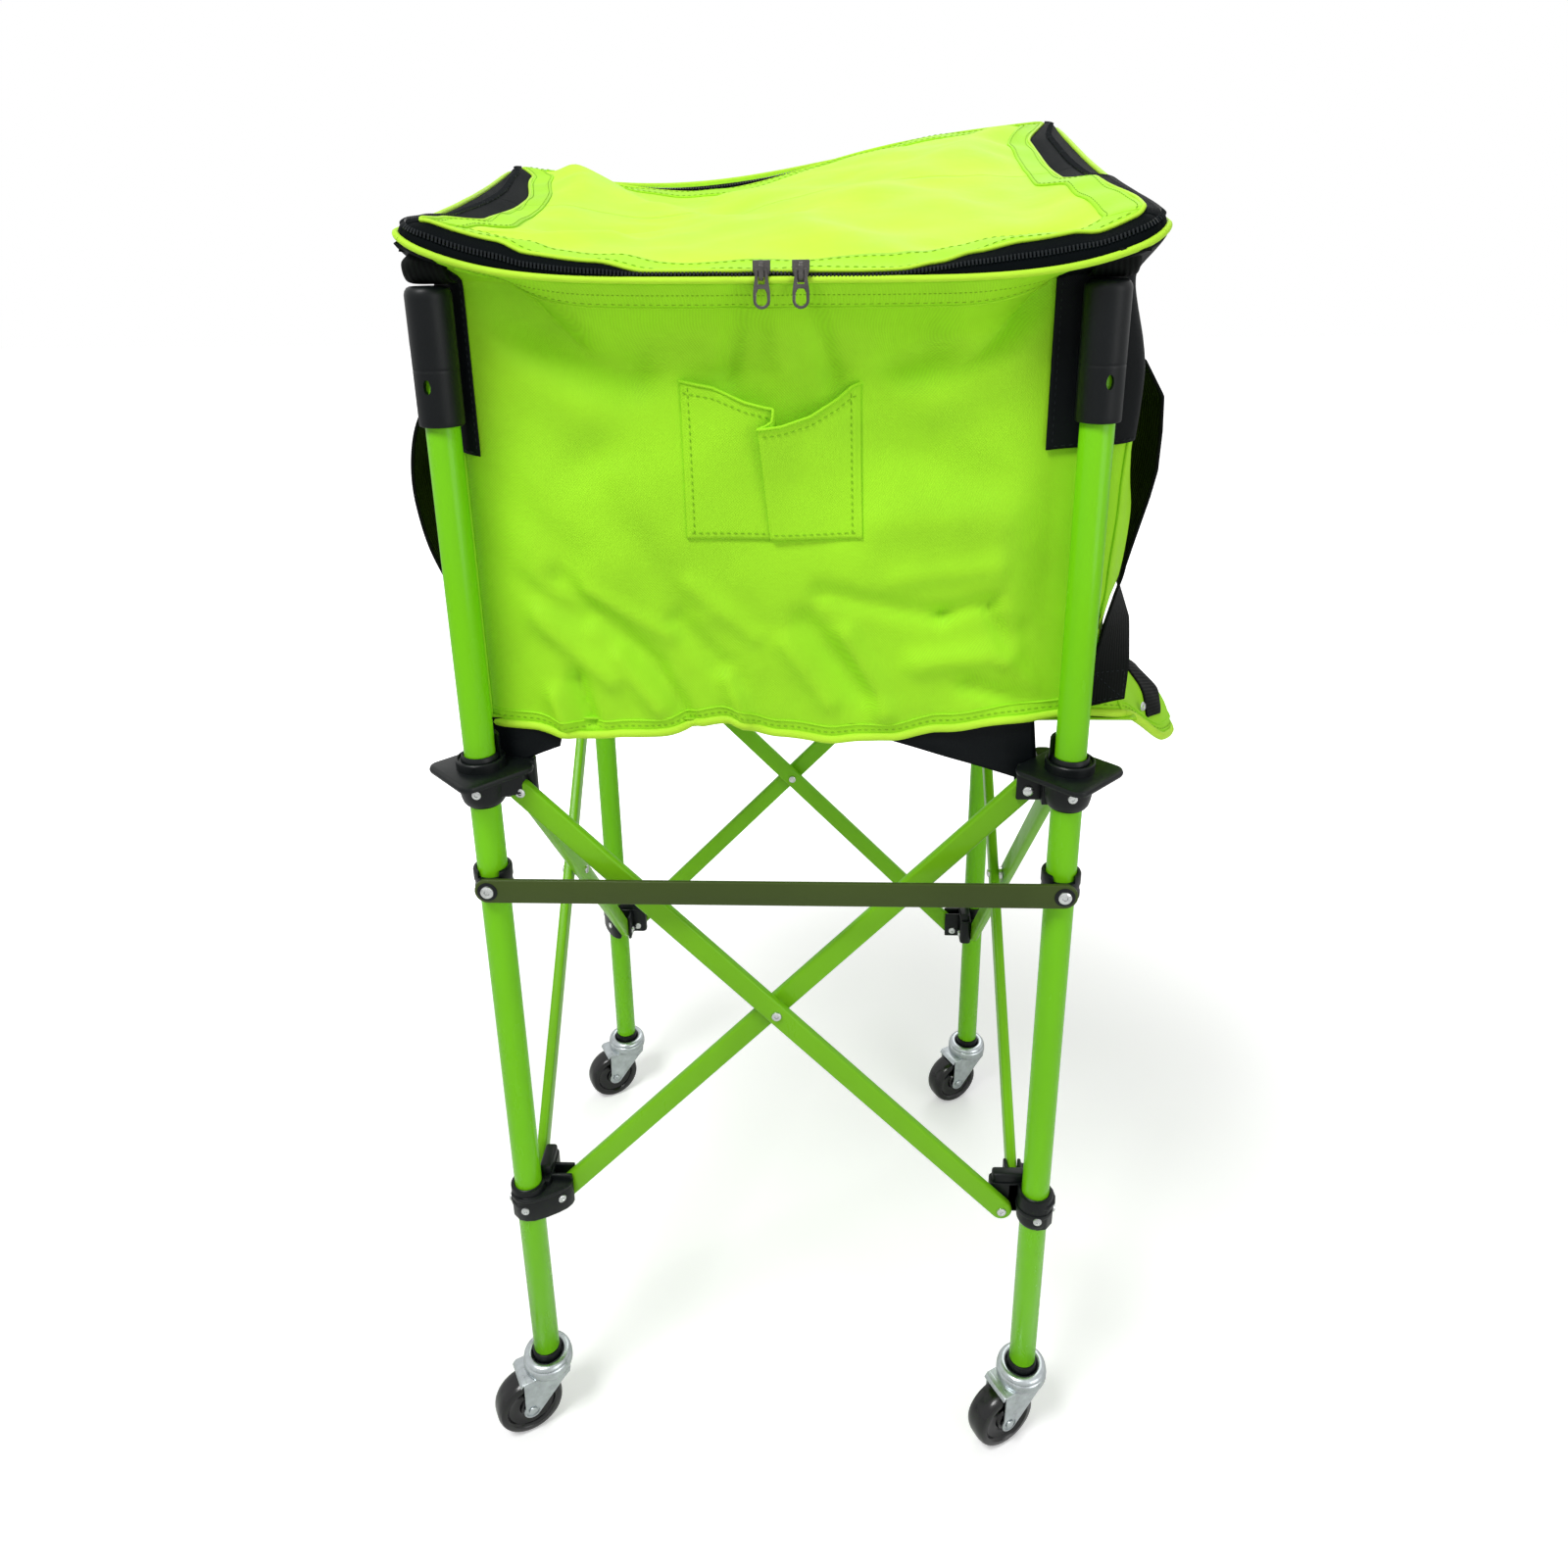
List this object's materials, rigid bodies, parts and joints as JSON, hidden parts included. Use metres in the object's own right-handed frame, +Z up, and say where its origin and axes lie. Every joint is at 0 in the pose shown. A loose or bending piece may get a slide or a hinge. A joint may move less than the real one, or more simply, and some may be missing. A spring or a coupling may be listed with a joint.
{
  "type": "tennis ball cart",
  "caption": "Folding ball cart: a zipped cloth hopper on upright legs joined by crossing arms, with swivel casters, a front lock bar, side straps and a front pocket.",
  "frame": {"origin": "On the ground, under the middle of the cart's bounding box, with the frame open.", "axes": "+Z up, -Y toward the front with the lock bar, pocket and zip pulls, +X to the right as seen from the front. Metres."},
  "size_m": [0.487, 0.4348, 0.9497],
  "materials": {
    "leg_paint": "glossy green powder coat",
    "arm_paint": "glossy green powder coat",
    "bar_paint": "dark olive paint",
    "black_plastic": "satin black moulded plastic",
    "cap_plastic": "satin black moulded plastic",
    "zinc_plate": "bright zinc plate",
    "rivet_steel": "dull blackened steel",
    "wheel_plastic": "glossy black",
    "bag_cloth": "coated woven cloth, yellow green",
    "lid_cloth": "coated woven cloth, yellow green",
    "floor_board": "board covered in the bag's cloth",
    "webbing": "black woven webbing",
    "zip_metal": "polished gunmetal"
  },
  "bodies": {
    "cart_frame": {"leg_fl": "leg_paint", "leg_cap_fl": "cap_plastic", "upper_bracket_fl": "black_plastic", "caster_stem_fl": "cap_plastic", "bar_clamp_left": "cap_plastic", "bag_front": "bag_cloth", "bag_left": "bag_cloth", "strap_left": "webbing"},
    "leg_fr_group": {"leg_fr": "leg_paint", "leg_cap_fr": "cap_plastic", "upper_bracket_fr": "black_plastic", "caster_stem_fr": "cap_plastic", "bar_clamp_right": "cap_plastic", "bag_right": "bag_cloth", "strap_right": "webbing"},
    "leg_rl_group": {"leg_rl": "leg_paint", "leg_cap_rl": "cap_plastic", "upper_bracket_rl": "black_plastic", "caster_stem_rl": "cap_plastic", "bag_rear": "bag_cloth"},
    "leg_rr_group": {"leg_rr": "leg_paint", "leg_cap_rr": "cap_plastic", "upper_bracket_rr": "black_plastic", "caster_stem_rr": "cap_plastic"},
    "lower_bracket_fl_slide": {"lower_bracket_fl": "black_plastic"},
    "lower_bracket_fr_slide": {"lower_bracket_fr": "black_plastic"},
    "lower_bracket_rr_slide": {"lower_bracket_rr": "black_plastic"},
    "lower_bracket_rl_slide": {"lower_bracket_rl": "black_plastic"},
    "front_outer_arm_group": {"front_outer_arm": "arm_paint", "crossing_rivet_front": "rivet_steel"},
    "front_inner_arm_group": {"front_inner_arm": "arm_paint"},
    "right_outer_arm_group": {"right_outer_arm": "arm_paint", "crossing_rivet_right": "rivet_steel"},
    "right_inner_arm_group": {"right_inner_arm": "arm_paint"},
    "rear_outer_arm_group": {"rear_outer_arm": "arm_paint", "crossing_rivet_rear": "rivet_steel"},
    "rear_inner_arm_group": {"rear_inner_arm": "arm_paint"},
    "left_outer_arm_group": {"left_outer_arm": "arm_paint", "crossing_rivet_left": "rivet_steel"},
    "left_inner_arm_group": {"left_inner_arm": "arm_paint"},
    "lock_bar_group": {"lock_bar": "bar_paint"},
    "pocket_group": {"bag_pocket": "bag_cloth"},
    "floor_front_group": {"bag_floor_front": "floor_board"},
    "lid_front_group": {"lid_front": "lid_cloth"},
    "floor_rear_group": {"bag_floor_rear": "floor_board"},
    "lid_rear_group": {"lid_rear": "lid_cloth"},
    "zip_slider_left_group": {"zip_slider_left": "zip_metal"},
    "zip_pull_left_group": {"zip_pull_left": "zip_metal"},
    "zip_slider_right_group": {"zip_slider_right": "zip_metal"},
    "zip_pull_right_group": {"zip_pull_right": "zip_metal"},
    "caster_fl_group": {"caster_fork_fl": "zinc_plate"},
    "wheel_fl_group": {"wheel_fl": "wheel_plastic"},
    "caster_fr_group": {"caster_fork_fr": "zinc_plate"},
    "wheel_fr_group": {"wheel_fr": "wheel_plastic"},
    "caster_rr_group": {"caster_fork_rr": "zinc_plate"},
    "wheel_rr_group": {"wheel_rr": "wheel_plastic"},
    "caster_rl_group": {"caster_fork_rl": "zinc_plate"},
    "wheel_rl_group": {"wheel_rl": "wheel_plastic"}
  },
  "joints": [
    {"name": "frame_fold", "type": "hinge", "parent": "cart_frame", "child": "front_outer_arm_group", "pos_m": [-0.1755, -0.1782, 0.541], "axis": [0, 1, 0], "range_deg": [0, 32], "deforming": ["bag_front", "bag_left", "bag_right", "bag_rear", "bag_floor_front", "bag_floor_rear", "lid_front", "lid_rear", "bag_pocket", "strap_left", "strap_right"]},
    {"name": "front_cross", "type": "hinge", "parent": "front_outer_arm_group", "child": "front_inner_arm_group", "pos_m": [-0.0185, -0.168, 0.3765], "axis": [0, 1, 0], "range_deg": [-64, 0]},
    {"name": "leg_fr_pivot", "type": "hinge", "parent": "front_inner_arm_group", "child": "leg_fr_group", "pos_m": [0.1385, -0.168, 0.541], "axis": [0, 1, 0], "range_deg": [0, 32]},
    {"name": "lower_pivot_fr", "type": "hinge", "parent": "front_outer_arm_group", "child": "lower_bracket_fr_slide", "pos_m": [0.1385, -0.1782, 0.212], "axis": [0, 1, 0], "range_deg": [-32, 0]},
    {"name": "lower_pivot_fl", "type": "hinge", "parent": "front_inner_arm_group", "child": "lower_bracket_fl_slide", "pos_m": [-0.1755, -0.168, 0.212], "axis": [0, 1, 0], "range_deg": [0, 32]},
    {"name": "left_upper_pivot", "type": "hinge", "parent": "cart_frame", "child": "left_inner_arm_group", "pos_m": [-0.1865, -0.157, 0.541], "axis": [-1, 0, 0], "range_deg": [0, 32]},
    {"name": "left_cross", "type": "hinge", "parent": "left_inner_arm_group", "child": "left_outer_arm_group", "pos_m": [-0.1967, 0, 0.3765], "axis": [-1, 0, 0], "range_deg": [-64, 0]},
    {"name": "leg_rl_pivot", "type": "hinge", "parent": "left_outer_arm_group", "child": "leg_rl_group", "pos_m": [-0.1967, 0.157, 0.541], "axis": [-1, 0, 0], "range_deg": [0, 32]},
    {"name": "lower_pivot_rl", "type": "hinge", "parent": "left_inner_arm_group", "child": "lower_bracket_rl_slide", "pos_m": [-0.1865, 0.157, 0.212], "axis": [-1, 0, 0], "range_deg": [-32, 0]},
    {"name": "right_upper_pivot", "type": "hinge", "parent": "leg_fr_group", "child": "right_outer_arm_group", "pos_m": [0.1597, -0.157, 0.541], "axis": [-1, 0, 0], "range_deg": [0, 32]},
    {"name": "right_cross", "type": "hinge", "parent": "right_outer_arm_group", "child": "right_inner_arm_group", "pos_m": [0.1495, 0, 0.3765], "axis": [-1, 0, 0], "range_deg": [-64, 0]},
    {"name": "leg_rr_pivot", "type": "hinge", "parent": "right_inner_arm_group", "child": "leg_rr_group", "pos_m": [0.1495, 0.157, 0.541], "axis": [-1, 0, 0], "range_deg": [0, 32]},
    {"name": "lower_pivot_rr", "type": "hinge", "parent": "right_outer_arm_group", "child": "lower_bracket_rr_slide", "pos_m": [0.1597, 0.157, 0.212], "axis": [-1, 0, 0], "range_deg": [-32, 0]},
    {"name": "rear_upper_pivot", "type": "hinge", "parent": "leg_rl_group", "child": "rear_inner_arm_group", "pos_m": [-0.1755, 0.168, 0.541], "axis": [0, 1, 0], "range_deg": [0, 32]},
    {"name": "rear_cross", "type": "hinge", "parent": "rear_inner_arm_group", "child": "rear_outer_arm_group", "pos_m": [-0.0185, 0.1782, 0.3765], "axis": [0, 1, 0], "range_deg": [-64, 0]},
    {"name": "lock_bar_swing", "type": "hinge", "parent": "cart_frame", "child": "lock_bar_group", "pos_m": [-0.1985, -0.1941, 0.4785], "axis": [0, 1, 0], "range_deg": [0, 80]},
    {"name": "floor_front_hinge", "type": "hinge", "parent": "cart_frame", "child": "floor_front_group", "pos_m": [-0.0185, -0.1644, 0.5845], "axis": [1, 0, 0], "range_deg": [0, 70.4]},
    {"name": "floor_rear_hinge", "type": "hinge", "parent": "leg_rl_group", "child": "floor_rear_group", "pos_m": [-0.0185, 0.1644, 0.5845], "axis": [-1, 0, 0], "range_deg": [0, 70.4]},
    {"name": "pocket_shift", "type": "slide", "parent": "cart_frame", "child": "pocket_group", "axis": [-1, 0, 0], "range_m": [0, 0.1115]},
    {"name": "lid_open", "type": "hinge", "parent": "leg_rl_group", "child": "lid_rear_group", "pos_m": [-0.0185, 0.192, 0.9155], "axis": [-1, 0, 0], "range_deg": [0, 180]},
    {"name": "lid_crease", "type": "hinge", "parent": "lid_rear_group", "child": "lid_front_group", "pos_m": [-0.0185, -0.004, 0.90779], "axis": [1, 0, 0], "range_deg": [0, 89.6]},
    {"name": "zip_slide_left", "type": "slide", "parent": "pocket_group", "child": "zip_slider_left_group", "axis": [-1, 0, 0], "range_m": [0, 0.14]},
    {"name": "zip_pull_left_swing", "type": "hinge", "parent": "zip_slider_left_group", "child": "zip_pull_left_group", "pos_m": [-0.0185, -0.2048, 0.849], "axis": [-1, 0, 0], "range_deg": [0, 150]},
    {"name": "zip_slide_right", "type": "slide", "parent": "pocket_group", "child": "zip_slider_right_group", "axis": [1, 0, 0], "range_m": [0, 0.14]},
    {"name": "zip_pull_right_swing", "type": "hinge", "parent": "zip_slider_right_group", "child": "zip_pull_right_group", "pos_m": [0.0015, -0.2048, 0.849], "axis": [-1, 0, 0], "range_deg": [0, 150]},
    {"name": "caster_fl_swivel", "type": "hinge", "parent": "cart_frame", "child": "caster_fl_group", "pos_m": [-0.1985, -0.18, 0.06], "axis": [0, 0, 1], "continuous": true},
    {"name": "wheel_fl_spin", "type": "hinge", "parent": "caster_fl_group", "child": "wheel_fl_group", "pos_m": [-0.21409, -0.189, 0.025], "axis": [0.5, -0.866, 0], "continuous": true},
    {"name": "caster_fr_swivel", "type": "hinge", "parent": "leg_fr_group", "child": "caster_fr_group", "pos_m": [0.1615, -0.18, 0.06], "axis": [0, 0, 1], "continuous": true},
    {"name": "wheel_fr_spin", "type": "hinge", "parent": "caster_fr_group", "child": "wheel_fr_group", "pos_m": [0.14591, -0.189, 0.025], "axis": [0.5, -0.866, 0], "continuous": true},
    {"name": "caster_rr_swivel", "type": "hinge", "parent": "leg_rr_group", "child": "caster_rr_group", "pos_m": [0.1615, 0.18, 0.06], "axis": [0, 0, 1], "continuous": true},
    {"name": "wheel_rr_spin", "type": "hinge", "parent": "caster_rr_group", "child": "wheel_rr_group", "pos_m": [0.14591, 0.171, 0.025], "axis": [0.5, -0.866, 0], "continuous": true},
    {"name": "caster_rl_swivel", "type": "hinge", "parent": "leg_rl_group", "child": "caster_rl_group", "pos_m": [-0.1985, 0.18, 0.06], "axis": [0, 0, 1], "continuous": true},
    {"name": "wheel_rl_spin", "type": "hinge", "parent": "caster_rl_group", "child": "wheel_rl_group", "pos_m": [-0.21409, 0.171, 0.025], "axis": [0.5, -0.866, 0], "continuous": true}
  ],
  "couplings": [
    {"joint": "front_cross", "follows": "frame_fold", "ratio": -2},
    {"joint": "leg_fr_pivot", "follows": "frame_fold", "ratio": 1},
    {"joint": "lower_pivot_fr", "follows": "frame_fold", "ratio": -1},
    {"joint": "lower_pivot_fl", "follows": "frame_fold", "ratio": 1},
    {"joint": "left_upper_pivot", "follows": "frame_fold", "ratio": 1},
    {"joint": "left_cross", "follows": "frame_fold", "ratio": -2},
    {"joint": "leg_rl_pivot", "follows": "frame_fold", "ratio": 1},
    {"joint": "lower_pivot_rl", "follows": "frame_fold", "ratio": -1},
    {"joint": "right_upper_pivot", "follows": "frame_fold", "ratio": 1},
    {"joint": "right_cross", "follows": "frame_fold", "ratio": -2},
    {"joint": "leg_rr_pivot", "follows": "frame_fold", "ratio": 1},
    {"joint": "lower_pivot_rr", "follows": "frame_fold", "ratio": -1},
    {"joint": "rear_upper_pivot", "follows": "frame_fold", "ratio": 1},
    {"joint": "rear_cross", "follows": "frame_fold", "ratio": -2},
    {"joint": "lock_bar_swing", "follows": "frame_fold", "ratio": 2.5},
    {"joint": "floor_front_hinge", "follows": "frame_fold", "ratio": 2.2},
    {"joint": "floor_rear_hinge", "follows": "frame_fold", "ratio": 2.2},
    {"joint": "pocket_shift", "follows": "frame_fold", "m_per_rad": 0.1988},
    {"joint": "lid_crease", "follows": "frame_fold", "ratio": 2.8}
  ]
}
